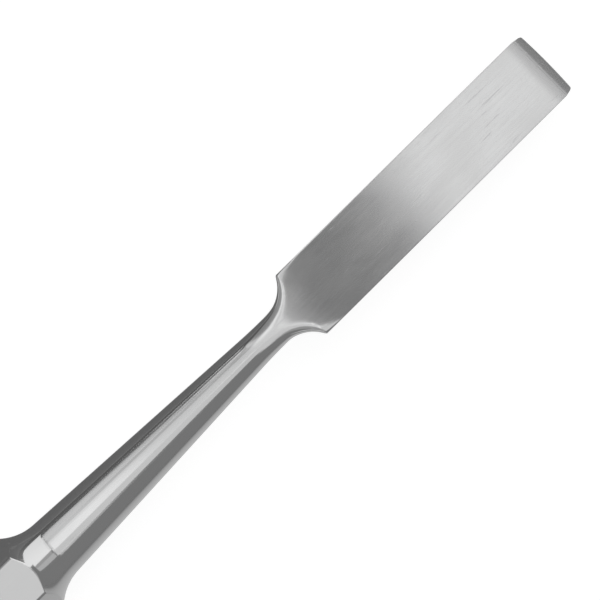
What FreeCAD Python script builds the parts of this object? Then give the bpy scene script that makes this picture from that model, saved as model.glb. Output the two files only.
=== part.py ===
import FreeCAD, Part
import math
import os

# Bone chisel, forged and ground from one bar of stainless steel. It lies on a flat of its
# handle: +X runs along the axis to the cutting edge, Y across the blade, Z up. The origin is
# on the ground under the middle of the length, and the bevel of the edge faces up.

# Driving dimensions in mm
OVERALL_LENGTH = 205.0

# Handle: a hexagonal bar, turned down at both ends
HANDLE_ACROSS_FLATS = 13.4
BAR_EDGE_ROUND = 0.5           # the six long edges, eased
HEAD_FACE_DIAMETER = 9.6       # the struck face, inside its chamfer
HEAD_CROWN = 0.5               # how far the struck face domes
HEAD_RIM_ROUND = 0.5
HEAD_CHAMFER_ANGLE = 35.0      # of the chamfer to the struck face
SCALLOP_ROUND = 0.3            # where the chamfer runs out into the flats

# Shank: a long taper between two hollow turns
FLARE_RADIUS = 8.5             # hollow turn from the shank up into the bar
SHANK_BIG_DIAMETER = 9.93      # where the flare begins
SHANK_LENGTH = 45.2            # from there to the neck
NECK_DIAMETER = 5.26
NECK_BLEND_RADIUS = 90.0       # soft bend from the taper into the neck
NECK_LENGTH = 0.58             # plain round length between that bend and the shoulder's turn

# Forged root: round at the neck, then ever squarer as it opens out into the blade
SHOULDER_RADIUS = 5.9          # hollow turn from the neck out to the blade's corners
ROOT_EXCESS = 1.5              # the forging is wider by this much each side than the ground blade
ROOT_SQUARENESS = 12.0         # power of the rounded section at the wide end; 2 is a circle
ROOT_SECTIONS = 10
ROOT_SECTION_SPANS = 16        # of each half of a section

# Blade: ground hollow on both faces, then a thin wedge, with a bevel on the upper face
BLADE_LENGTH = 53.8
BLADE_ROOT_WIDTH = 12.05
BLADE_TIP_WIDTH = 11.85
CREST_DISTANCE = 3.9           # from the shoulder to where the root's crown turns into the hollow
GRIND_RUNOUT = 0.06            # the crown runs out level, this far above the round neck
HOLLOW_LENGTH = 26.5
HOLLOW_END_THICKNESS = 1.9
TIP_THICKNESS = 1.4            # where the bevel would begin if it were not rolled over
BEVEL_ANGLE = 32.0
BEVEL_ROLL_RADIUS = 5.0        # soft turn from the face into the bevel
EDGE_THICKNESS = 0.06
EDGE_BOW = 0.35                # the cutting edge stands this far proud at its middle
TIP_CORNER_INSET = 0.26        # each side draws in by this much along the bevel
TIP_CORNER_ROUND = 0.35
ROOT_EDGE_ROUND = 0.3          # where the grinding leaves the root, and at the shoulders

# Construction
CLEAR = 1.0                    # how far tool bodies reach past what they cut
JOIN_TOLERANCE = 0.001

# Places along the axis, measured from the cutting edge, with radii and angles that follow
EDGE_X = 0.0
HEAD_X = EDGE_X - OVERALL_LENGTH
SHOULDER_X = EDGE_X - BLADE_LENGTH
NECK_RADIUS = NECK_DIAMETER / 2
SHANK_BIG_RADIUS = SHANK_BIG_DIAMETER / 2
BAR_CORNER_RADIUS = HANDLE_ACROSS_FLATS / math.sqrt(3)
SHOULDER_TURN = math.acos(1 - (BLADE_ROOT_WIDTH / 2 - NECK_RADIUS) / SHOULDER_RADIUS)
TURN_START_X = SHOULDER_X - SHOULDER_RADIUS * math.sin(SHOULDER_TURN)
TAPER = math.atan2(SHANK_BIG_RADIUS - NECK_RADIUS, SHANK_LENGTH)
NECK_BLEND = NECK_BLEND_RADIUS * math.tan(TAPER / 2)
NECK_X = TURN_START_X - NECK_LENGTH - NECK_BLEND
FLARE_X = NECK_X - SHANK_LENGTH
BEVEL = math.radians(BEVEL_ANGLE)
BEVEL_X = EDGE_X - (TIP_THICKNESS - EDGE_THICKNESS) / math.tan(BEVEL)
AXIS = FreeCAD.Vector(1, 0, 0)
ACROSS = FreeCAD.Vector(0, 1, 0)
UP = FreeCAD.Vector(0, 0, 1)
ORIGIN = FreeCAD.Vector(0, 0, 0)


def profile_point(x, height):
    return FreeCAD.Vector(x, 0, height)


def plan_point(x, across):
    return FreeCAD.Vector(x, across, 0)


def line(start, end):
    return Part.LineSegment(start, end).toShape()


def face_of(edges):
    return Part.Face(Part.Wire(Part.sortEdges(edges)[0]))


def tangent_arc(start, direction, end):
    """The arc that leaves start along direction and reaches end, and its direction there."""
    chord = end - start
    side = chord - direction * chord.dot(direction)
    side.normalize()
    radius = chord.dot(chord) / (2 * chord.dot(side))
    centre = start + side * radius
    to_middle = (start + end) * 0.5 - centre
    to_middle.normalize()
    arc = Part.Arc(start, centre + to_middle * radius, end).toShape()
    arrival = chord * (2 * chord.dot(direction) / chord.dot(chord)) - direction
    return arc, arrival


def struck_face():
    """The domed end that the mallet meets, as an arc from the axis out to its rim."""
    rim = HEAD_FACE_DIAMETER / 2
    dome_radius = (rim ** 2 + HEAD_CROWN ** 2) / (2 * HEAD_CROWN)
    half_way = math.asin(rim / dome_radius) / 2
    middle = profile_point(
        HEAD_X + dome_radius * (1 - math.cos(half_way)),
        dome_radius * math.sin(half_way),
    )
    crown = profile_point(HEAD_X, 0)
    edge = profile_point(HEAD_X + HEAD_CROWN, rim)
    return Part.Arc(crown, middle, edge).toShape(), crown, edge


def turned_blank():
    """Struck face, bar, flare and tapered shank, turned round the axis as far as the neck."""
    outer = BAR_CORNER_RADIUS + CLEAR
    dome, crown, rim = struck_face()
    chamfer_length = (outer - rim.z) * math.tan(math.radians(HEAD_CHAMFER_ANGLE))
    chamfer_end = profile_point(rim.x + chamfer_length, outer)
    flare_turn = math.acos(math.cos(TAPER) - (outer - SHANK_BIG_RADIUS) / FLARE_RADIUS)
    flare_length = FLARE_RADIUS * (math.sin(flare_turn) - math.sin(TAPER))
    flare_high = profile_point(FLARE_X - flare_length, outer)
    flare_low = profile_point(FLARE_X, SHANK_BIG_RADIUS)
    up_the_taper = FreeCAD.Vector(-math.cos(TAPER), 0, math.sin(TAPER))
    flare, _ = tangent_arc(flare_low, up_the_taper, flare_high)
    taper_end = profile_point(NECK_X, NECK_RADIUS) + up_the_taper * NECK_BLEND
    neck_start = profile_point(NECK_X + NECK_BLEND, NECK_RADIUS)
    neck_blend, _ = tangent_arc(neck_start, -AXIS, taper_end)
    neck_end = profile_point(TURN_START_X, NECK_RADIUS)
    axis_end = profile_point(TURN_START_X, 0)
    half = face_of(
        [
            dome,
            line(rim, chamfer_end),
            line(chamfer_end, flare_high),
            flare,
            line(flare_low, taper_end),
            neck_blend,
            line(neck_start, neck_end),
            line(neck_end, axis_end),
            line(axis_end, crown),
        ]
    )
    turned = half.revolve(ORIGIN, AXIS, 360)
    rim_edge = [edge for edge in turned.Edges if is_ring(edge, rim.x, rim.z)]
    return turned.makeFillet(HEAD_RIM_ROUND, rim_edge)


def is_ring(edge, x, radius):
    """Whether an edge is the circle of this radius round the axis at x."""
    circumference = 2 * math.pi * radius
    if abs(edge.Length - circumference) > JOIN_TOLERANCE:
        return False
    return abs(edge.valueAt(edge.FirstParameter).x - x) < JOIN_TOLERANCE


def hexagonal_bar():
    """The handle's bar, with a flat on top and one below, and its long edges eased."""
    start_x = HEAD_X - CLEAR
    corners = []
    for number in range(7):
        angle = math.radians(60 * number)
        across = BAR_CORNER_RADIUS * math.cos(angle)
        upward = BAR_CORNER_RADIUS * math.sin(angle)
        corners.append(FreeCAD.Vector(start_x, across, upward))
    length = TURN_START_X + CLEAR - start_x
    bar = Part.Face(Part.makePolygon(corners)).extrude(AXIS * length)
    long_edges = [edge for edge in bar.Edges if abs(edge.Length - length) < JOIN_TOLERANCE]
    return bar.makeFillet(BAR_EDGE_ROUND, long_edges)


def handle_and_shank():
    """The turned blank with the six flats of the bar: crisp at the flare, eased at the chamfer."""
    body = turned_blank().common(hexagonal_bar()).Solids[0]
    scallops = []
    for edge in body.Edges:
        ends = [vertex.Point for vertex in edge.Vertexes]
        radii = [math.hypot(end.y, end.z) for end in ends]
        on_the_bar = min(radii) > HANDLE_ACROSS_FLATS / 2 - JOIN_TOLERANCE
        at_the_head = max(end.x for end in ends) < HEAD_X + HANDLE_ACROSS_FLATS
        if on_the_bar and at_the_head:
            scallops.append(edge)
    return body.makeFillet(SCALLOP_ROUND, scallops)


def root_section(turn, last_turn):
    """A closed section of the forged root, part way round the shoulder's hollow turn."""
    x = TURN_START_X + SHOULDER_RADIUS * math.sin(turn)
    roundness = (1 - math.sin(turn) / math.sin(last_turn)) ** 2 / 2
    squareness = 1 / max(roundness, 1 / ROOT_SQUARENESS)
    half_width = NECK_RADIUS + SHOULDER_RADIUS * (1 - math.cos(turn))
    angles = [math.pi * number / ROOT_SECTION_SPANS for number in range(ROOT_SECTION_SPANS + 1)]
    halves = []
    for side in (1, -1):
        points = []
        for angle in angles:
            across = side * math.cos(angle)
            upward = side * math.sin(angle)
            reach = (abs(across) ** squareness + abs(upward) ** squareness) ** (-1 / squareness)
            points.append(FreeCAD.Vector(x, half_width * reach * across, NECK_RADIUS * reach * upward))
        curve = Part.BSplineCurve()
        curve.interpolate(
            Points=points,
            Parameters=angles,
            InitialTangent=UP * (side * NECK_RADIUS),
            FinalTangent=UP * (-side * NECK_RADIUS),
            Scale=False,
        )
        halves.append(curve.toShape())
    return Part.Wire(halves)


def forged_root():
    """The neck opened out into the blade, and the bar that the blade is ground from."""
    reach = BLADE_ROOT_WIDTH / 2 + ROOT_EXCESS
    last_turn = math.acos(1 - (reach - NECK_RADIUS) / SHOULDER_RADIUS)
    wires = []
    for number in range(ROOT_SECTIONS):
        share = number / (ROOT_SECTIONS - 1)
        wires.append(root_section(last_turn * share, last_turn))
    root = Part.makeLoft(wires, True)
    bar_x = TURN_START_X + SHOULDER_RADIUS * math.sin(last_turn)
    corner = FreeCAD.Vector(bar_x, -reach, -NECK_RADIUS)
    bar = Part.makeBox(EDGE_X + CLEAR - bar_x, 2 * reach, NECK_DIAMETER, corner)
    return root.fuse(bar)


def ground_faces():
    """What lies between the ground faces, from the side: crown, hollow, wedge and bevel."""
    crest_x = SHOULDER_X + CREST_DISTANCE
    hollow_x = crest_x + HOLLOW_LENGTH
    wedge = math.atan2((HOLLOW_END_THICKNESS - TIP_THICKNESS) / 2, BEVEL_X - hollow_x)
    hollow_end = profile_point(hollow_x, HOLLOW_END_THICKNESS / 2)
    runout = profile_point(NECK_X, NECK_RADIUS + GRIND_RUNOUT)
    thinning = runout.z - hollow_end.z - HOLLOW_LENGTH * wedge / 2
    crest_slope = 2 * thinning / (hollow_x - runout.x)
    crest = profile_point(crest_x, hollow_end.z + HOLLOW_LENGTH * (crest_slope + wedge) / 2)
    up_the_wedge = FreeCAD.Vector(-math.cos(wedge), 0, math.sin(wedge))
    hollow, at_crest = tangent_arc(hollow_end, up_the_wedge, crest)
    crown, _ = tangent_arc(crest, at_crest, runout)
    roll = BEVEL_ROLL_RADIUS * math.tan((BEVEL - wedge) / 2)
    bevel_corner = profile_point(BEVEL_X, TIP_THICKNESS / 2)
    down_the_bevel = FreeCAD.Vector(math.cos(BEVEL), 0, -math.sin(BEVEL))
    roll_start = bevel_corner + up_the_wedge * roll
    roll_end = bevel_corner + down_the_bevel * roll
    rolled, _ = tangent_arc(roll_start, -up_the_wedge, roll_end)
    edge_top = profile_point(EDGE_X, EDGE_THICKNESS - TIP_THICKNESS / 2)
    edge_below = profile_point(EDGE_X, -TIP_THICKNESS / 2)
    hollow_end_below = profile_point(hollow_x, -hollow_end.z)
    behind = profile_point(NECK_X - CLEAR, runout.z)
    behind_below = profile_point(behind.x, -behind.z)
    outline = face_of(
        [
            line(behind, runout),
            crown,
            hollow,
            line(hollow_end, roll_start),
            rolled,
            line(roll_end, edge_top),
            line(edge_top, edge_below),
            line(edge_below, hollow_end_below),
            hollow.mirror(ORIGIN, UP),
            crown.mirror(ORIGIN, UP),
            line(profile_point(runout.x, -runout.z), behind_below),
            line(behind_below, behind),
        ]
    )
    span = BLADE_ROOT_WIDTH + 2 * CLEAR
    outline.translate(ACROSS * (-span / 2))
    return outline.extrude(ACROSS * span)


def ground_sides():
    """What lies between the ground sides, from above, with the bowed cutting edge."""
    root = BLADE_ROOT_WIDTH / 2
    tip = BLADE_TIP_WIDTH / 2
    start_x = TURN_START_X - CLEAR
    draw = (root - tip) / (BEVEL_X - SHOULDER_X)
    start = plan_point(start_x, root + draw * (SHOULDER_X - start_x))
    draw_in = plan_point(BEVEL_X, tip)
    corner = plan_point(EDGE_X - EDGE_BOW, tip - TIP_CORNER_INSET)
    edges = [line(start, draw_in), line(draw_in, corner)]
    edges += [edge.mirror(ORIGIN, ACROSS) for edge in edges]
    across_corner = plan_point(corner.x, -corner.y)
    edges.append(Part.Arc(corner, plan_point(EDGE_X, 0), across_corner).toShape())
    edges.append(line(start, plan_point(start.x, -start.y)))
    outline = face_of(edges)
    outline.translate(UP * -BLADE_ROOT_WIDTH)
    plate = outline.extrude(UP * 2 * BLADE_ROOT_WIDTH)
    corners = []
    for edge in plate.Edges:
        foot = edge.Vertexes[0].Point
        upright = edge.Length > BLADE_ROOT_WIDTH
        if upright and abs(foot.x - corner.x) < JOIN_TOLERANCE:
            corners.append(edge)
    return plate.makeFillet(TIP_CORNER_ROUND, corners)


def blade():
    """The forging ground to its blade, with the edge of the grinding eased round the root."""
    body = forged_root().common(ground_faces()).common(ground_sides()).Solids[0]
    ease = []
    for edge in body.Edges:
        ends = [vertex.Point.x for vertex in edge.Vertexes]
        past_the_neck = min(ends) > TURN_START_X + JOIN_TOLERANCE
        before_the_crest = max(ends) < SHOULDER_X + CREST_DISTANCE - JOIN_TOLERANCE
        if past_the_neck and before_the_crest:
            ease.append(edge)
    return body.makeFillet(ROOT_EDGE_ROUND, ease)


def chisel():
    """The whole chisel in one piece, lifted so that it lies on the lower flat of its handle."""
    whole = handle_and_shank().fuse([blade()], JOIN_TOLERANCE)
    whole.translate(FreeCAD.Vector(OVERALL_LENGTH / 2, 0, HANDLE_ACROSS_FLATS / 2))
    return whole.Solids[0]


body = chisel()
os.makedirs("parts", exist_ok=True)
body.exportStep("parts/chisel.step")
print(f"chisel: valid {body.isValid()}, {len(body.Faces)} faces, {body.Volume / 1000:.2f} cm3")
print(f"centre of mass at x {body.CenterOfMass.x:.1f} mm")
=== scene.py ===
# %% [markdown]
# A bone chisel is one piece of stainless steel. A hexagonal handle is turned down into a
# round, tapered shank, the neck opens out into a flat blade with square shoulders, and a
# bevel on one face makes the cutting edge. The solid model comes first and stays as it is:
# it says how large everything is, and the finish is built around it.

# %% The solid model
import bpy
import math
import numpy as np
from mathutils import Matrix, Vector


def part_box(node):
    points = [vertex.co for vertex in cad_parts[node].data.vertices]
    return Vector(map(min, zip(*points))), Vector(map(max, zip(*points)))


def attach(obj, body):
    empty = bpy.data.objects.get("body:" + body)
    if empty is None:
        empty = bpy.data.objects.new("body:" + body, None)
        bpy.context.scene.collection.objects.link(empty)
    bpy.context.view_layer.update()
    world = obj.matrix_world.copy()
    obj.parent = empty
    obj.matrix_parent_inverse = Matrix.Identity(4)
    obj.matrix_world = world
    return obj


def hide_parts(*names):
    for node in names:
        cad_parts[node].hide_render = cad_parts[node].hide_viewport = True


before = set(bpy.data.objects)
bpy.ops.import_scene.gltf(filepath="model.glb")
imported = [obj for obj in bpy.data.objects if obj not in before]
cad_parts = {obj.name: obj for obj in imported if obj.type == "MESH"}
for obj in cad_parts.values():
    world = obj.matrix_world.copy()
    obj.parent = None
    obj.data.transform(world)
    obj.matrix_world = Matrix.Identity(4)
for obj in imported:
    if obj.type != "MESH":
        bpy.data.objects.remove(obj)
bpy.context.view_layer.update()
scene = bpy.context.scene
MM = 0.001
low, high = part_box("chisel")
print("solid model in mm:", [round(side / MM, 2) for side in high - low])

# %% [markdown]
# Polished steel shows every facet of a mesh as a kink in its reflections, so the visible
# chisel is drawn once more, finely, inside the box of the solid. It could be subdivided
# from the solid's triangles, but those follow no grain. Here it is a skin of rings that are
# threaded on the axis from the struck end to the cutting edge, so that each ring has the
# section the steel has there. All measures are in millimetres, and x runs along the axis.

# %% Measures of the chisel
EDGE = high.x / MM  # the cutting edge, at the far end of the axis
HEAD = low.x / MM  # the middle of the struck face
AXIS_HEIGHT = high.z / MM / 2
FLAT = AXIS_HEIGHT  # from the axis to a flat of the handle
HEX_ROUND = 0.5  # radius of the handle's eased long edges
RIM = 4.8  # radius of the struck face
CROWN = 0.5  # how far the struck face is domed
RIM_ROUND = 0.5
CHAMFER = math.radians(35)
FLARE_RADIUS = 8.5  # the hollow turn between the handle and the shank
SHANK_RADIUS = 4.965
SHANK_LENGTH = 45.2
NECK = 2.63  # radius of the neck
NECK_BLEND = 90.0  # radius of the soft bend from the shank to the neck
NECK_LENGTH = 0.58
TURN = 5.9  # radius of the hollow turn that opens the neck out
BLADE_LENGTH = 53.8
ROOT_HALF = 6.025  # half of the blade's width at the shoulders
TIP_HALF = 5.925  # half of its width at the tip

taper = math.atan2(SHANK_RADIUS - NECK, SHANK_LENGTH)
blend = NECK_BLEND * math.tan(taper / 2)
shoulder = EDGE - BLADE_LENGTH
turn_start = shoulder - math.sqrt(TURN ** 2 - (TURN - ROOT_HALF + NECK) ** 2)
neck_corner = turn_start - NECK_LENGTH - blend
bend_start = neck_corner - blend
bend_end = neck_corner + blend
flare_start = neck_corner - SHANK_LENGTH
print("shoulder at", round(shoulder, 2))
print("neck at", round(neck_corner, 2), "flare at", round(flare_start, 2))

# %% [markdown]
# The handle is a hexagonal bar with its long edges eased. It could be a cylinder of six
# sides with a bevel, but the rings need its radius at any angle. Seen along the axis, that
# radius depends only on the angle, so one function gives it for every ring.

# %% Radius of the hexagonal bar
HALF_FLAT = math.pi / 6  # the angle from a corner to the middle of a flat


def bar_radius(angle):
    """Radius of the bar at an angle round the axis; its corners point along Y."""
    off_corner = np.abs((angle + HALF_FLAT) % (2 * HALF_FLAT) - HALF_FLAT)
    flat = FLAT / np.cos(HALF_FLAT - off_corner)
    centre = (FLAT - HEX_ROUND) / math.cos(HALF_FLAT)
    round_part = centre * np.cos(off_corner) + np.sqrt(
        np.maximum(HEX_ROUND ** 2 - (centre * np.sin(off_corner)) ** 2, 0)
    )
    tangent = math.atan2(HEX_ROUND / 2, centre + HEX_ROUND * math.cos(HALF_FLAT))
    return np.where(off_corner < tangent, round_part, flat)


print("bar over its corners:", round(2 * float(bar_radius(np.array(0.0))), 2))

# %% [markdown]
# Where the steel was ground or turned, two surfaces meet in an edge that polishing has
# softened. The soft minimum of two heights follows the lower one and rounds the corner
# where they cross, over a band that is as wide as the polishing wheel made it.

# %% Soft corners
def soft_min(first, second, band):
    """The lower of two values, with the corner where they cross eased over the band."""
    overlap = np.maximum(band - np.abs(first - second), 0)
    return np.minimum(first, second) - overlap ** 2 / (4 * band)


eased = 1 - float(soft_min(np.array(1.0), np.array(1.0), 0.2))
print("two equal values of 1 eased by", round(eased, 3))

# %% [markdown]
# Seen from the side, the steel thins from the neck to the cutting edge, and how steeply it
# falls decides what each place reflects. So the side is drawn by its slope, not by its
# height: a few slopes are named along the blade, and adding them up from the neck forward
# gives the height. The light then slides along the blade with no line across it. The price
# is that the blade's faces come out up to a fifth of a millimetre inside the solid's. The
# last slopes are the bevel, which the polishing wheel has rolled softly into the face.

# %% Slopes of the blade
HOLLOW_END = 79.1
WEDGE_END = 99.2
BEVEL_START = 100.85
SLOPES = {
    bend_start: 0.0517,
    39.2: 0.041,
    43.1: 0.036,
    44.7: 0.0495,
    46.2: 0.0580,
    47.8: 0.0602,
    49.3: 0.0615,
    50.9: 0.065,
    52.6: 0.071,
    HOLLOW_END: 0.0200,
    WEDGE_END: 0.0034,
    100.3: 0.0065,
    BEVEL_START: 0.0105,
    100.98: 0.022,
    101.07: 0.50,
    101.4: 0.64,
    EDGE: 0.82,
}
SIDE_POINTS = 4000
side_x = np.linspace(bend_start, EDGE, SIDE_POINTS)
side_slope = np.interp(side_x, list(SLOPES), list(SLOPES.values()))
face_slope = np.where(side_x < WEDGE_END, side_slope, SLOPES[WEDGE_END])
print("steepest slope before the bevel:", SLOPES[52.6], "and at the edge:", SLOPES[EDGE])

# %% [markdown]
# Only the upper face has the bevel. The lower face keeps the slope it has at the end of the
# wedge, so the two sides are added up apart from each other.

# %% Thickness of the blade
def heights(slope, start_height):
    """Heights along the side, from its slopes and its height at the neck."""
    step = side_x[1] - side_x[0]
    fallen = np.concatenate([[0], np.cumsum((slope[1:] + slope[:-1]) / 2 * step)])
    return start_height - fallen


taper_end = NECK + blend * math.tan(taper)
upper_side = heights(side_slope, taper_end)
lower_side = heights(face_slope, taper_end)


def upper_height(x):
    return np.interp(x, side_x, upper_side)


def lower_height(x):
    return np.interp(x, side_x, lower_side)


MEASURED = {"shoulder": shoulder, "hollow's end": HOLLOW_END, "bevel": BEVEL_START, "edge": EDGE}
for place, x in MEASURED.items():
    print("thickness at the", place, round(float(upper_height(x) + lower_height(x)), 2))

# %% [markdown]
# From above, a hollow turn opens the neck out to the shoulders, and the sides then run
# almost parallel. The shoulders were ground by hand, so one stands a little ahead of the
# other. Near the cutting edge the sides draw in and the corners are rounded.

# %% Width of the blade
SKEW = 0.33  # how far each shoulder stands ahead of or behind the middle of the two
AHEAD = 0.1  # how far both stand ahead of the solid's
SKEW_GROWS_OVER = 2
SHOULDER_BAND = 0.5
SHOULDER_EASED_TO = 2
BOW = 0.16
INSET = 0.3
DRAW_IN_FROM = 100.9
DRAW_IN_AT_MOST = 1.2
TIP_ROUND = 0.32


def forged_half(x, side):
    """Half of the width of the shank, the neck and the hollow turn after it."""
    start = turn_start + (AHEAD + SKEW * side) * np.clip((x - turn_start) / SKEW_GROWS_OVER, 0, 1)
    sine = np.clip((x - start) / TURN, 0, 1)
    opened = NECK + TURN * (1 - np.sqrt(1 - sine ** 2))
    shank = NECK + (neck_corner - x) * math.tan(taper)
    bent = NECK + NECK_BLEND - np.sqrt(NECK_BLEND ** 2 - np.clip(bend_end - x, 0, 2 * blend) ** 2)
    return np.where(x < bend_start, shank, np.where(x < start, bent, opened))


def ground_half(x):
    """Half of the width of the blade between its ground sides."""
    narrowing = (TIP_HALF - ROOT_HALF) * (x - shoulder) / (DRAW_IN_FROM - shoulder)
    share = np.clip((x - DRAW_IN_FROM) / (EDGE - BOW - DRAW_IN_FROM), 0, DRAW_IN_AT_MOST)
    return np.where(x < DRAW_IN_FROM, ROOT_HALF + narrowing, TIP_HALF - INSET * share)


def half_width(x, side):
    """Half of the width at x on one side: +1 is the side with the shoulder ahead."""
    eased = soft_min(forged_half(x, side), ground_half(x), SHOULDER_BAND)
    return np.where(x < shoulder + SHOULDER_EASED_TO, eased, ground_half(x))


for place, x in (("neck", neck_corner), ("shoulder", shoulder + 1), ("tip", DRAW_IN_FROM)):
    print("width at the", place, round(2 * float(half_width(np.array(x), 1)), 2))

# %% [markdown]
# The section changes along the root: a circle at the neck, then ever squarer as it opens
# out, and a flat bar from the shoulders on. One formula holds them all, the rounded square
# whose power rises from 2, a circle, to a high one, a bar with soft edges. It could be a
# row of hand-made sections, but a rising power keeps the skin smooth between them.

# %% Section of the steel
CIRCLE = 2
SQUAREST = 90
SQUARE_AT = 47.8
POWER_THERE = 7.5
DOUBLES_IN = 1.75
NOT_QUITE_ZERO = 1e-9


def squareness(x):
    """Power of the section: 2 at the neck, then growing ever faster along the axis."""
    grown = 2 ** ((x - SQUARE_AT) / DOUBLES_IN) - 2 ** ((bend_start - SQUARE_AT) / DOUBLES_IN)
    return np.minimum(CIRCLE + POWER_THERE * grown, SQUAREST)


def blade_ring(x):
    """Offsets across and upward of one ring of the root or the blade."""
    side = np.sign(np.cos(angle))
    power = squareness(x)
    wide = half_width(x, side)
    tall = np.where(np.sin(angle) < 0, lower_height(x), upper_height(x))
    across = np.abs(np.cos(angle)) + NOT_QUITE_ZERO
    upward = np.abs(np.sin(angle)) + NOT_QUITE_ZERO
    reach = (across ** power + upward ** power) ** (-1 / power)
    return reach * wide * np.cos(angle), reach * tall * np.sin(angle)


for place, x in (("neck", neck_corner), ("shoulder", shoulder), ("blade", 60.0)):
    print("power of the section at the", place, round(float(squareness(x)), 1))

# %% [markdown]
# The rings share one set of angles. They crowd together where an edge runs along the
# steel: at the six corners of the bar, and at 45 degrees, where the blade has its edges.
# Even angles would need far more points to draw those edges as crisp.

# %% Angles of the rings
EVENLY = 2.0  # degrees
BESIDE_BAR_CORNER = (0.4, 0.8, 1.2, 1.6, 2.0)
ON_BLADE_SIDE = (0.12, 0.25, 0.4, 0.6, 1.0, 1.8)
ON_BLADE_FACE = (0.5, 1.0, 1.7, 2.6, 3.8)


def ring_angles():
    """Angles round the axis, in radians, that every ring has its points at."""
    angles = set(np.round(np.arange(0, 360, EVENLY), 3))
    for corner in range(0, 360, 60):
        for step in BESIDE_BAR_CORNER:
            angles.add(round((corner + step) % 360, 3))
            angles.add(round((corner - step) % 360, 3))
    for corner in (45, 135, 225, 315):
        angles.add(float(corner))
        outward = 1 if corner in (45, 225) else -1
        for step in ON_BLADE_SIDE:
            angles.add(round(corner + outward * step, 3))
        for step in ON_BLADE_FACE:
            angles.add(round(corner - outward * step, 3))
    return np.radians(sorted(angles))


angle = ring_angles()
columns = len(angle)
print("points in a ring:", columns)

# %% [markdown]
# The struck end is a shallow dome with an eased rim, because a mallet would soon burr a
# sharp one. Both are arcs that a lathe tool would follow, so their rings are plain circles.

# %% Rings of the struck face
ON_DOME = (0.06, 0.2, 0.4, 0.6, 0.8, 0.92)  # shares of its radius
ROUND_RIM = 7  # rings round the rim
rings = []


def turned_ring(x, radius):
    """One ring; x and the radius may differ from point to point round it."""
    x = np.broadcast_to(np.asarray(x, float), angle.shape)
    rings.append((x, radius * np.cos(angle), radius * np.sin(angle)))


dome_radius = (RIM ** 2 + CROWN ** 2) / (2 * CROWN)
dome_lean = math.asin(RIM / dome_radius)
chamfer_lean = math.pi / 2 - CHAMFER
rim_turn = chamfer_lean - dome_lean
rim_back = RIM_ROUND * math.tan(rim_turn / 2)
dome_edge = RIM - rim_back * math.cos(dome_lean)
for share in ON_DOME:
    radius = share * dome_edge
    turned_ring(HEAD + dome_radius - math.sqrt(dome_radius ** 2 - radius ** 2), radius)
rim_x = HEAD + CROWN - rim_back * math.sin(dome_lean) + RIM_ROUND * math.cos(dome_lean)
rim_r = dome_edge - RIM_ROUND * math.sin(dome_lean)
for share in np.linspace(0, 1, ROUND_RIM):
    lean = dome_lean + rim_turn * share
    turned_ring(rim_x - RIM_ROUND * math.cos(lean), rim_r + RIM_ROUND * math.sin(lean))
print("rings so far:", len(rings))

# %% [markdown]
# A chamfer follows, and it runs out into the six flats in scallops. Those scallops are
# curves in space, so the rings there aren't flat: each point slides along the axis to where
# the turned cone meets its own flat.

# %% Rings of the chamfer
SCALLOP_BAND = 0.22
ALONG_CHAMFER = (0.25, 0.5, 0.7, 0.85, 0.93, 0.98, 1.0, 1.02, 1.07, 1.15, 1.3)
bar = bar_radius(angle)
chamfer_x = HEAD + CROWN + (bar - RIM) * math.tan(CHAMFER)
chamfer_from = HEAD + CROWN + rim_back * math.cos(chamfer_lean)
for share in ALONG_CHAMFER:
    x = chamfer_from + (chamfer_x - chamfer_from) * share
    cone = RIM + (x - HEAD - CROWN) / math.tan(CHAMFER)
    turned_ring(x, soft_min(cone, bar, SCALLOP_BAND))
print("rings so far:", len(rings))

# %% [markdown]
# At the other end of the bar a hollow turn cuts into the flats and leaves each with a
# pointed end. It is drawn in the same way as the chamfer, with rings that slide along the
# axis, and they are closest together at the points.

# %% Rings of the bar and the flare
FLARE_BAND = 0.1
AT_POINTS = (-0.35, -0.2, -0.12, -0.06, 0, 0.06, 0.12, 0.2, 0.35)
BEFORE_POINTS = 0.6
ON_BAR = 14
ON_FLARE = 24
flare_centre_r = SHANK_RADIUS + FLARE_RADIUS * math.cos(taper)
flare_centre_x = flare_start + FLARE_RADIUS * math.sin(taper)
flare_x = flare_centre_x - np.sqrt(FLARE_RADIUS ** 2 - (flare_centre_r - bar) ** 2)


def flared(x):
    """Radius of the flare at x."""
    return flare_centre_r - np.sqrt(FLARE_RADIUS ** 2 - (x - flare_centre_x) ** 2)


last_x = rings[-1][0]
for share in np.linspace(0, 1, ON_BAR)[1:]:
    turned_ring(last_x + (flare_x - BEFORE_POINTS - last_x) * share, bar)
for step in AT_POINTS:
    x = flare_x + step
    turned_ring(x, soft_min(flared(x), bar, FLARE_BAND))
first_x = rings[-1][0]
for share in np.linspace(0, 1, ON_FLARE)[1:]:
    x = first_x + (flare_start - first_x) * share
    turned_ring(x, flared(x))
print("rings so far:", len(rings))

# %% [markdown]
# The shank tapers in a straight line and then bends, very softly, into the neck.

# %% Rings of the shank
ON_SHANK = 34
for x in np.linspace(flare_start, bend_start, ON_SHANK)[1:]:
    turned_ring(x, NECK + (neck_corner - x) * math.tan(taper))
print("rings so far:", len(rings))

# %% [markdown]
# The root and the blade follow, with the sections from above. The rings are closest where
# the neck opens out into the shoulders, because the form changes fastest there.

# %% Rings of the root and the blade
WIDENS = turn_start + 3.6
ROOT_DONE = shoulder + 1.2
SETTLED = 54.0
TIP_FROM = 99.0
STRETCHES = (  # from, to and the number of rings
    (bend_start, WIDENS, 40),
    (WIDENS, ROOT_DONE, 46),
    (ROOT_DONE, SETTLED, 12),
    (SETTLED, HOLLOW_END, 34),
    (HOLLOW_END, TIP_FROM, 20),
)


def add_blade_ring(x):
    """One ring of the blade; x may differ from point to point round it."""
    x = np.broadcast_to(np.asarray(x, float), angle.shape)
    across, upward = blade_ring(x)
    rings.append((x, across, upward))


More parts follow.
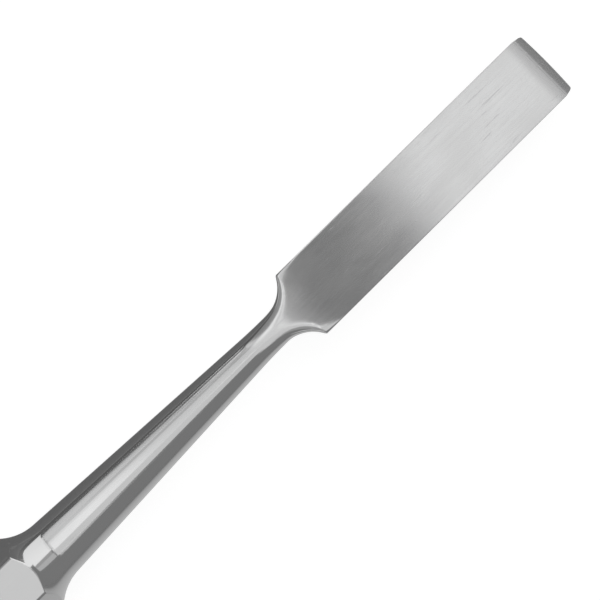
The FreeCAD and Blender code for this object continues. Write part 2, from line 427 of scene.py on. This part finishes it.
for start, end, number in STRETCHES:
    for x in np.linspace(start, end, number)[1:]:
        add_blade_ring(x)
print("rings so far:", len(rings))

# %% [markdown]
# Along the bevel the rings slide forward toward the middle of the blade, because the
# cutting edge is bowed and its two corners are rounded. So the last ring is the edge
# itself, and no cut has to be made.

# %% Rings of the bevel
ON_BEVEL = 34
spread = np.clip(np.abs(np.cos(angle)) / np.maximum(np.abs(np.sin(angle)), 1e-6), 0, 1)
edge_half = TIP_HALF - INSET
into_corner = np.maximum(spread * edge_half - (edge_half - TIP_ROUND), 0)
corner_back = TIP_ROUND - np.sqrt(np.maximum(TIP_ROUND ** 2 - into_corner ** 2, 0))
tip_to = EDGE - BOW * spread ** 2 - corner_back
for share in np.linspace(0, 1, ON_BEVEL)[1:]:
    add_blade_ring(TIP_FROM + (tip_to - TIP_FROM) * share)
print("rings in all:", len(rings))

# %% [markdown]
# Now the rings are joined into one skin. Between two rings lies a band of four-sided faces,
# and the dome is closed by a fan of triangles around its middle.

# %% Points and bands
def ring_points():
    """All points of the rings, row by row, and the middle of the dome as the last one."""
    xs, ys, zs = (np.array([ring[axis] for ring in rings]) for axis in range(3))
    points = np.stack([xs, ys, zs + AXIS_HEIGHT], axis=-1).reshape(-1, 3) * MM
    return np.vstack([points, [[HEAD * MM, 0, AXIS_HEIGHT * MM]]])


def bands():
    """The faces between each ring and the next, wound so that they face outward."""
    faces = []
    for row in range(len(rings) - 1):
        here = row * columns
        there = here + columns
        for column in range(columns):
            after = (column + 1) % columns
            faces.append((here + column, here + after, there + after, there + column))
    return faces


def dome_fan(middle):
    """Triangles from the middle of the dome to the first ring."""
    return [(middle, (column + 1) % columns, column) for column in range(columns)]


points = ring_points()
faces = bands() + dome_fan(len(points) - 1)
print("points:", len(points), "faces:", len(faces))

# %% [markdown]
# Even a sharp edge is a narrow face. It is closed from corner to corner by a strip that
# joins each point of the last ring to its mirror image below, and by one small face at
# either end. A closed skin is worth the trouble: it can be measured, baked and printed.

# %% The cutting edge
EIGHTH = math.pi / 4  # the angle at which the blade has its edges
TOUCH = 1e-6


def cutting_edge():
    """The strip along the cutting edge, and the face at either end of it."""
    last = (len(rings) - 1) * columns
    around = 2 * math.pi
    mirror = [int(np.argmin(np.abs(angle - (around - a) % around))) for a in angle]
    upper = [c for c in range(columns) if EIGHTH - TOUCH <= angle[c] <= 3 * EIGHTH + TOUCH]
    strip = [
        (last + here, last + after, last + mirror[after], last + mirror[here])
        for here, after in zip(upper[:-1], upper[1:])
    ]
    right = [c for c in range(columns) if angle[c] <= EIGHTH + TOUCH]
    right_below = [mirror[c] for c in right if c != 0]
    left = [c for c in range(columns) if abs(angle[c] - math.pi) <= EIGHTH + TOUCH]
    right_end = tuple(last + c for c in right_below[::-1] + right)
    left_end = tuple(last + c for c in left)
    return strip + [right_end, left_end]


faces += cutting_edge()
print("faces with the cutting edge:", len(faces))

# %% [markdown]
# The skin becomes a smooth-shaded object. It rides on the one body of the chisel, it is
# shown in place of the solid, and its material slot is the steel.

# %% The skin
mesh = bpy.data.meshes.new("chisel_skin")
mesh.from_pydata([tuple(point) for point in points], [], faces)
mesh.validate()
mesh.polygons.foreach_set("use_smooth", [True] * len(mesh.polygons))
skin = bpy.data.objects.new("chisel_skin", mesh)
scene.collection.objects.link(skin)
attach(skin, "root")
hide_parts("chisel")
print("faces of the skin:", len(mesh.polygons))

# %% [markdown]
# The camera looks straight down on the instrument, which runs from the lower left to the
# upper right of the picture. A long lens from far away keeps both sides of the blade
# parallel, as they are in a catalogue picture. A short lens close by would make the tip
# and the handle seem to lean apart.

# %% Camera
PICTURE = 600  # pixels
PIXEL = 0.1552 * MM
CAMERA_DISTANCE = 1.4
SENSOR = 36.0
MIDDLE_ALONG = 49.25
MIDDLE_ACROSS = 0.65
TURNED = 44.7  # degrees between the axis and the picture's lower edge
look_at = Vector((MIDDLE_ALONG * MM, MIDDLE_ACROSS * MM, AXIS_HEIGHT * MM))
camera = bpy.data.objects.new("camera", bpy.data.cameras.new("camera"))
scene.collection.objects.link(camera)
camera.data.sensor_width = SENSOR
camera.data.lens = SENSOR * CAMERA_DISTANCE / (PICTURE * PIXEL)
camera.location = look_at + Vector((0, 0, CAMERA_DISTANCE))
camera.rotation_euler = (0, 0, math.radians(-TURNED))
camera.data.clip_start = 0.01
camera.data.clip_end = 20
scene.camera = camera
print("lens in mm:", round(camera.data.lens, 1))

# %% [markdown]
# Materials are made of nodes, and each node takes a few lines to make and join. A handful
# of helpers says the same in one line, so that a recipe reads like a recipe.

# %% Helpers for materials
def link(tree, start, end):
    tree.links.new(start, end)


def remap(tree, value, from_low, from_high, to_low, to_high):
    """Carries a range of a value over to another range, and holds it inside."""
    node = tree.nodes.new("ShaderNodeMapRange")
    names = ("From Min", "From Max", "To Min", "To Max")
    for name, number in zip(names, (from_low, from_high, to_low, to_high)):
        node.inputs[name].default_value = number
    link(tree, value, node.inputs["Value"])
    return node.outputs[0]


def math_node(tree, operation, first, second):
    """Joins two values by an operation; each is a number or comes from another node."""
    node = tree.nodes.new("ShaderNodeMath")
    node.operation = operation
    for socket, value in zip(node.inputs, (first, second)):
        if isinstance(value, (int, float)):
            socket.default_value = value
        else:
            link(tree, value, socket)
    return node.outputs[0]


def mix_tones(tree, share, first, second):
    """Mixes two tones by a share; each is a tone or comes from another node."""
    node = tree.nodes.new("ShaderNodeMix")
    node.data_type = "RGBA"
    for socket, tone in ((node.inputs[6], first), (node.inputs[7], second)):
        if isinstance(tone, tuple):
            socket.default_value = tone
        else:
            link(tree, tone, socket)
    link(tree, share, node.inputs[0])
    return node.outputs[2]


print("helpers:", [helper.__name__ for helper in (link, remap, math_node, mix_tones)])

# %% [markdown]
# The steel is satin polished: bright, but every reflection has a soft edge. Fine lines of
# the polishing belt run along the instrument, with a few deeper scratches among them. They
# could be painted on a picture, but a noise that is stretched along the axis has no seam
# and no pixels.

# %% Marks of the belt
steel = bpy.data.materials.new("satin_steel")
steel.use_nodes = True
tree = steel.node_tree
where = tree.nodes.new("ShaderNodeTexCoord").outputs["Object"]


def stretched_noise(scale, size, detail):
    """A noise in the steel's own space, stretched by a scale along each axis."""
    stretch = tree.nodes.new("ShaderNodeMapping")
    stretch.inputs["Scale"].default_value = scale
    link(tree, where, stretch.inputs["Vector"])
    noise = tree.nodes.new("ShaderNodeTexNoise")
    noise.inputs["Scale"].default_value = size
    noise.inputs["Detail"].default_value = detail
    link(tree, stretch.outputs[0], noise.inputs["Vector"])
    return noise.outputs[0]


grain = stretched_noise((0.02, 1, 1), 3600, 4)
fine_grain = stretched_noise((0.012, 1, 1), 9000, 2)
cloud = stretched_noise((0.6, 1, 1), 170, 3)
scratches = remap(tree, stretched_noise((0.05, 1, 0.9), 2100, 6), 0.66, 0.70, 0.0, 1.0)
print("nodes for the belt's marks:", len(tree.nodes))

# %% [markdown]
# Use leaves its own marks. The struck end carries small dents, and the corners are a little
# brighter where hands and cloths have worn them. Toward the bevel the steel grows duller,
# because the edge is honed on a stone after the polishing, and there the corners are new.

# %% Marks of use
axes = tree.nodes.new("ShaderNodeSeparateXYZ")
link(tree, where, axes.inputs[0])
along = axes.outputs["X"]
pointiness = tree.nodes.new("ShaderNodeNewGeometry").outputs["Pointiness"]
behind_bevel = remap(tree, along, 98.0 * MM, 100.0 * MM, 1.0, 0.0)
wear = math_node(tree, "MULTIPLY", remap(tree, pointiness, 0.54, 0.64, 0.0, 1.0), behind_bevel)
toward_bevel = remap(tree, along, 98.5 * MM, 101.2 * MM, 0.0, 1.0)
honed = math_node(tree, "MULTIPLY", toward_bevel, toward_bevel)
struck = remap(tree, along, (HEAD + 0.55) * MM, (HEAD + 0.8) * MM, 1.0, 0.0)
dents = tree.nodes.new("ShaderNodeTexVoronoi")
dents.feature = "SMOOTH_F1"
dents.inputs["Scale"].default_value = 620
dents.inputs["Smoothness"].default_value = 0.6
link(tree, where, dents.inputs["Vector"])
print("nodes with the marks of use:", len(tree.nodes))

# %% [markdown]
# Roughness says how soft a reflection is. It starts from the belt's grain, and each mark
# adds its share, so a scratch or the honed bevel looks duller under any light.

# %% Roughness of the steel
POLISH = (0.082, 0.098)
UNEVEN = (-0.008, 0.010)
ROUGHER_BY = ((scratches, 0.05), (struck, 0.16), (wear, 0.03), (honed, 0.14))
shader = tree.nodes["Principled BSDF"]
shader.inputs["Metallic"].default_value = 1.0
rough = remap(tree, grain, 0.3, 0.7, *POLISH)
rough = math_node(tree, "ADD", rough, remap(tree, cloud, 0.35, 0.65, *UNEVEN))
for mark, share in ROUGHER_BY:
    rough = math_node(tree, "ADD", rough, math_node(tree, "MULTIPLY", mark, share))
link(tree, rough, shader.inputs["Roughness"])
print("roughness between", POLISH, "before the marks")

# %% [markdown]
# A metal's tone is what it reflects. Stainless steel is a neutral grey that wanders a
# little between a cooler and a warmer one, and worn corners are lighter.

# %% Tone of the steel
COOLER = (0.592, 0.594, 0.598, 1)
WARMER = (0.614, 0.614, 0.613, 1)
WORN = (0.74, 0.74, 0.735, 1)
from_grain = remap(tree, fine_grain, 0.35, 0.65, 0.0, 0.5)
from_cloud = remap(tree, cloud, 0.3, 0.7, 0.0, 0.5)
satin = mix_tones(tree, math_node(tree, "ADD", from_grain, from_cloud), COOLER, WARMER)
link(tree, mix_tones(tree, wear, satin, WORN), shader.inputs["Base Color"])
print("tones:", COOLER[:3], WARMER[:3], "worn:", WORN[:3])

# %% [markdown]
# The same marks also change the height, by less than a thousandth of a millimetre. That is
# enough for steel, because a reflection doubles every lean of the surface.

# %% Height of the marks
MARK_HEIGHT = 0.28e-6
SCRATCH_DEPTH = 0.8
DENT_DEPTH = 60
fine = math_node(tree, "MULTIPLY", fine_grain, 0.4)
scratched = math_node(tree, "MULTIPLY", scratches, SCRATCH_DEPTH)
dented = math_node(tree, "MULTIPLY", struck, dents.outputs["Distance"])
dented = math_node(tree, "MULTIPLY", dented, DENT_DEPTH)
height = math_node(tree, "ADD", grain, fine)
height = math_node(tree, "SUBTRACT", height, scratched)
height = math_node(tree, "ADD", height, dented)
bump = tree.nodes.new("ShaderNodeBump")
bump.inputs["Strength"].default_value = 1.0
bump.inputs["Distance"].default_value = MARK_HEIGHT
link(tree, height, bump.inputs["Height"])
link(tree, bump.outputs[0], shader.inputs["Normal"])
skin.data.materials.append(steel)
print("materials:", [slot.name for slot in skin.data.materials], "nodes:", len(tree.nodes))

# %% [markdown]
# The instrument lies on a white paper. The paper shines by itself for the camera, so the
# background is an even white however soft the light on the steel is. In the steel's own
# reflections the paper's glow is a painted shade. It stands in for the shade of a box whose
# sides stand close to the object: brightest close to one side of the instrument, and nearly
# black on the other.

# %% Floor
PAPER_TONE = 0.25
PAPER_SHINE = 0.88
FLOOR_SIZE = 6


def paper():
    """White for the camera, and a painted shade that fades across for the steel's reflections."""
    material = bpy.data.materials.new("white_paper")
    material.use_nodes = True
    tree = material.node_tree
    shader = tree.nodes["Principled BSDF"]
    shader.inputs["Base Color"].default_value = (PAPER_TONE, PAPER_TONE, PAPER_TONE, 1)
    shader.inputs["Roughness"].default_value = 0.9
    shader.inputs["Emission Color"].default_value = (1, 1, 1, 1)
    axes = tree.nodes.new("ShaderNodeSeparateXYZ")
    link(tree, tree.nodes.new("ShaderNodeTexCoord").outputs["Object"], axes.inputs[0])
    across = axes.outputs["Y"]
    # Painted shade: in the steel's reflections the paper's glow fades from bright on one side of
    # the instrument to nearly black on the other.
    near = remap(tree, across, -0.008, 0.008, 0.5, 0.02)
    far = remap(tree, across, -0.07, -0.01, 0.2, 1.0)
    path = tree.nodes.new("ShaderNodeLightPath").outputs
    painted_reflection_shade = math_node(tree, "MULTIPLY", near, far)
    painted_reflection_shade = math_node(tree, "MULTIPLY", path["Is Glossy Ray"], painted_reflection_shade)
    seen = math_node(tree, "MAXIMUM", path["Is Camera Ray"], path["Is Transmission Ray"])
    seen = math_node(tree, "MULTIPLY", seen, PAPER_SHINE)
    shine = math_node(tree, "ADD", seen, painted_reflection_shade)
    link(tree, shine, shader.inputs["Emission Strength"])
    return material


bpy.ops.mesh.primitive_plane_add(size=FLOOR_SIZE, location=(0, 0, 0))
floor = bpy.context.object
floor.name = "floor"
floor.data.materials.append(paper())
print("floor of", round(floor.dimensions.x, 1), "m")

# %% [markdown]
# The room between the lamps is a dim grey, a little darker toward one side. Steel shows
# everything that stands round it, so even this grey is part of the finish: together with
# the paper it is what the flanks of the shank reflect.

# %% The room
world = bpy.data.worlds.new("room")
scene.world = world
world.use_nodes = True
sky = world.node_tree
toward = sky.nodes.new("ShaderNodeSeparateXYZ")
link(sky, sky.nodes.new("ShaderNodeTexCoord").outputs["Generated"], toward.inputs[0])
dim = remap(sky, toward.outputs["Y"], 0.3, 0.95, 0.28, 0.15)
sky.nodes["Background"].inputs["Color"].default_value = (1, 1, 1, 1)
link(sky, dim, sky.nodes["Background"].inputs["Strength"])
scene.view_settings.view_transform = "Standard"
print("nodes of the room:", len(sky.nodes))

# %% [markdown]
# The light is a set of soft panels, a metre above the paper. The ceiling ends just where
# the hollow part of the blade looks past it, and that is why the blade darkens toward its
# root. A narrow streak draws the bright line down the shank, and the panels at the side
# light the flare. One large lamp could light all of it, but polished steel would then show
# one flat grey.

# %% Panels
PANELS = (  # name, from and to along X, from and to along Y, height, all in metres; radiance
    ("ceiling", 0.03, 0.156, -0.50, 2.6, 1.00, 0.42),
    ("ceiling_middle", 0.03, 0.156, -0.50, 0.62, 1.01, 0.20),
    ("ceiling_back", -0.80, 0.03, -0.50, 2.6, 1.00, 0.17),
    ("ceiling_handle", -0.12, 0.03, -0.12, 0.12, 1.01, 0.49),
    ("ceiling_edge", 0.128, 0.159, -0.07, 0.07, 1.02, 0.34),
    ("streak", 0.045, 0.094, -0.06, 0.46, 1.03, 0.42),
    ("streak_left", 0.045, 0.094, 0.46, 2.2, 1.03, 0.30),
    ("streak_far", 0.094, 0.138, 0.95, 2.6, 1.03, 0.28),
    ("streak_right", 0.03, 0.085, -0.70, -0.50, 1.03, 0.60),
    ("side_near", 0.176, 0.30, 0.09, 2.0, 1.04, 0.85),
    ("side_far", 0.30, 2.0, 0.09, 4.5, 1.05, 0.95),
    ("side_farthest", 2.0, 4.5, 0.35, 4.5, 1.05, 0.95),
    ("side_middle", 0.225, 2.0, -0.14, 0.09, 1.06, 0.22),
    ("side_right", 0.215, 2.0, -0.50, -0.14, 1.06, 0.38),
    ("behind", -3.0, -0.8, -3.0, 3.0, 1.00, 0.60),
)


def panel(name, low_x, high_x, low_y, high_y, height, radiance):
    """A soft lamp that faces down; its power follows from its size and its radiance."""
    lamp = bpy.data.lights.new(name, "AREA")
    lamp.shape = "RECTANGLE"
    lamp.size = high_x - low_x
    lamp.size_y = high_y - low_y
    lamp.energy = radiance * math.pi * lamp.size * lamp.size_y
    hung = bpy.data.objects.new(name, lamp)
    scene.collection.objects.link(hung)
    hung.location = ((low_x + high_x) / 2, (low_y + high_y) / 2, height)


for measures in PANELS:
    panel(*measures)
